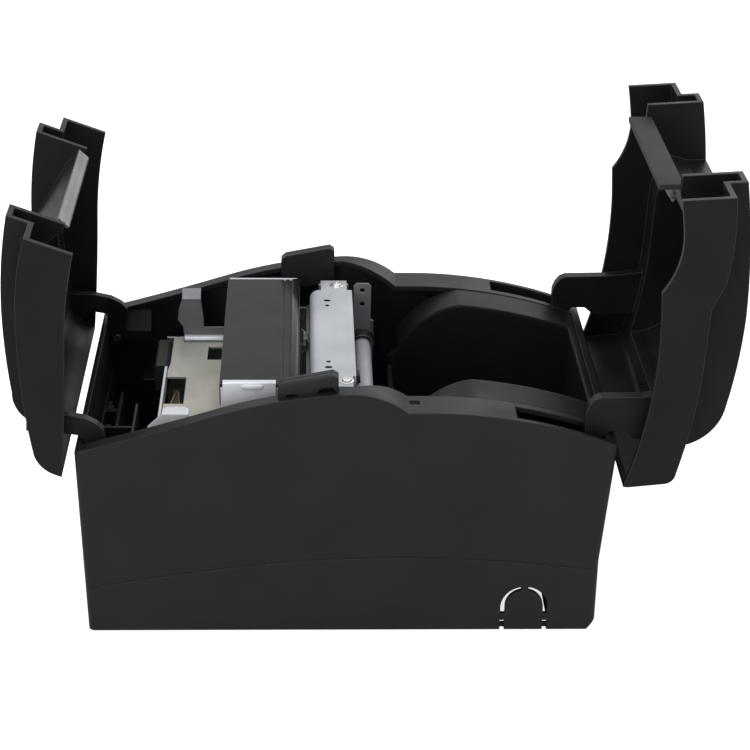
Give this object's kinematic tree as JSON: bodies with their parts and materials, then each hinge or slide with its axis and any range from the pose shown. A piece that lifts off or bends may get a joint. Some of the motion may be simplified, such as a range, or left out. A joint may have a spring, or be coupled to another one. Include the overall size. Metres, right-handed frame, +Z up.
{
  "type": "receipt printer",
  "caption": "Desktop receipt printer standing open: hinged front and rear covers, paper bucket, ribbon print mechanism, feed rollers and rear sockets.",
  "frame": {"origin": "middle of the base plate's flat underside; the rubber feet reach 1.2 mm lower", "axes": "+X towards the side wall with the cable knock-out, +Y from the front to the rear, +Z up"},
  "size_m": [0.16, 0.3304, 0.2179],
  "materials": {
    "case_plastic": "moulded black plastic with a fine texture",
    "cover_plastic": "moulded black plastic, slightly smoother than the case",
    "hinge_steel": "turned pin, bright",
    "foot_rubber": "moulded rubber",
    "screw_steel": "zinc-plated screws",
    "tear_steel": "rolled strip, satin",
    "slot_plate_grey": "dark grey moulded plate",
    "chassis_steel": "galvanised sheet",
    "zinc_beige": "yellow-passivated zinc sheet",
    "white_metal": "bright zinc-plated sheet",
    "head_cover_grey": "dark grey plastic, semi-gloss",
    "platen_steel": "ground bar",
    "shaft_steel": "ground and polished shaft",
    "feed_rubber": "black rubber sleeve",
    "roller_grey": "grey plastic roller",
    "gear_nylon": "natural nylon",
    "motor_can": "drawn steel can",
    "carriage_plastic": "glass-filled black plastic",
    "head_aluminium": "die-cast head with fins",
    "board_green": "solder-masked board",
    "chip_black": "moulded component bodies",
    "socket_black": "moulded connector body",
    "socket_steel": "folded connector shell",
    "button_grey": "grey keycap",
    "lens_green": "tinted clear lenses",
    "switch_black": "rocker switch moulding",
    "spring_brass": "rolled brass strip, lightly tarnished"
  },
  "bodies": {
    "case": {"lower_case": "case_plastic", "base_plate": "case_plastic", "rubber_feet": "foot_rubber", "base_screws": "screw_steel", "paper_bucket": "case_plastic", "front_hinge_pins": "hinge_steel", "rear_hinge_pins": "hinge_steel", "ribbon_spring": "spring_brass", "right_side_tab": "case_plastic", "left_side_tab": "case_plastic", "chassis_base": "chassis_steel", "chassis_side_right": "white_metal", "chassis_side_left": "chassis_steel", "mechanism_screws": "screw_steel", "zinc_deck": "zinc_beige", "far_bracket": "white_metal", "near_bracket": "white_metal", "ribbon_guide_block": "carriage_plastic", "head_cover": "head_cover_grey", "paper_guide": "white_metal", "guide_screws": "screw_steel", "platen_bar": "platen_steel", "feed_motor": "motor_can", "roller_bracket_left": "white_metal", "roller_bracket_right": "white_metal", "front_guide_shaft": "shaft_steel", "rear_guide_shaft": "shaft_steel", "board_spacers": "case_plastic", "main_board": "board_green", "board_chips": "chip_black", "power_socket": "socket_black", "drawer_socket": "socket_black", "usb_socket": "socket_steel", "data_socket": "socket_steel", "socket_panel": "chassis_steel", "front_panel": "cover_plastic", "button_switch": "chip_black", "status_lenses": "lens_green", "panel_board": "chip_black", "switch_frame": "switch_black"},
    "front_cover": {"front_cover": "cover_plastic", "tear_bar": "tear_steel"},
    "rear_cover": {"rear_cover": "cover_plastic", "slot_plate": "slot_plate_grey", "plate_clip": "socket_steel"},
    "feed_roller": {"feed_shaft": "shaft_steel", "feed_roller": "feed_rubber", "feed_gear": "gear_nylon"},
    "motor_rotor": {"motor_shaft": "shaft_steel", "motor_pinion": "gear_nylon"},
    "tension_roller": {"tension_shaft": "shaft_steel", "tension_roller": "roller_grey"},
    "carriage": {"carriage": "carriage_plastic", "print_head": "head_aluminium"},
    "ribbon_spindle": {"ribbon_spindle": "carriage_plastic"},
    "feed_button": {"feed_button": "button_grey"},
    "power_rocker": {"power_rocker": "switch_black"}
  },
  "joints": [
    {"name": "front_cover_hinge", "type": "hinge", "parent": "case", "child": "front_cover", "pos_m": [0, -0.115, 0.083], "axis": [-1, 0, 0], "range_deg": [0, 70]},
    {"name": "rear_cover_hinge", "type": "hinge", "parent": "case", "child": "rear_cover", "pos_m": [0, 0.112, 0.085], "axis": [1, 0, 0], "range_deg": [0, 86.4]},
    {"name": "feed_roller_spin", "type": "hinge", "parent": "case", "child": "feed_roller", "pos_m": [0, -0.008, 0.09], "axis": [1, 0, 0], "continuous": true},
    {"name": "motor_rotor_spin", "type": "hinge", "parent": "case", "child": "motor_rotor", "pos_m": [0, -0.01299, 0.07628], "axis": [1, 0, 0], "continuous": true},
    {"name": "tension_roller_spin", "type": "hinge", "parent": "case", "child": "tension_roller", "pos_m": [0, 0.0098, 0.089], "axis": [1, 0, 0], "continuous": true},
    {"name": "carriage_slide", "type": "slide", "parent": "case", "child": "carriage", "axis": [1, 0, 0], "range_m": [-0.038, 0.038]},
    {"name": "ribbon_spindle_spin", "type": "hinge", "parent": "case", "child": "ribbon_spindle", "pos_m": [0.048, -0.066, 0.088], "axis": [0, 0, 1], "continuous": true},
    {"name": "feed_button_press", "type": "slide", "parent": "case", "child": "feed_button", "axis": [0, 1, 0], "range_m": [0, 0.0012], "stiffness_N_per_m": 300, "springref_m": -0.0006},
    {"name": "power_rocker_tilt", "type": "hinge", "parent": "case", "child": "power_rocker", "pos_m": [-0.0742, -0.0955, 0.047], "axis": [0, -1, 0], "range_deg": [-16, 0]}
  ],
  "couplings": [
    {"joint": "motor_rotor_spin", "follows": "feed_roller_spin", "ratio": -2}
  ]
}
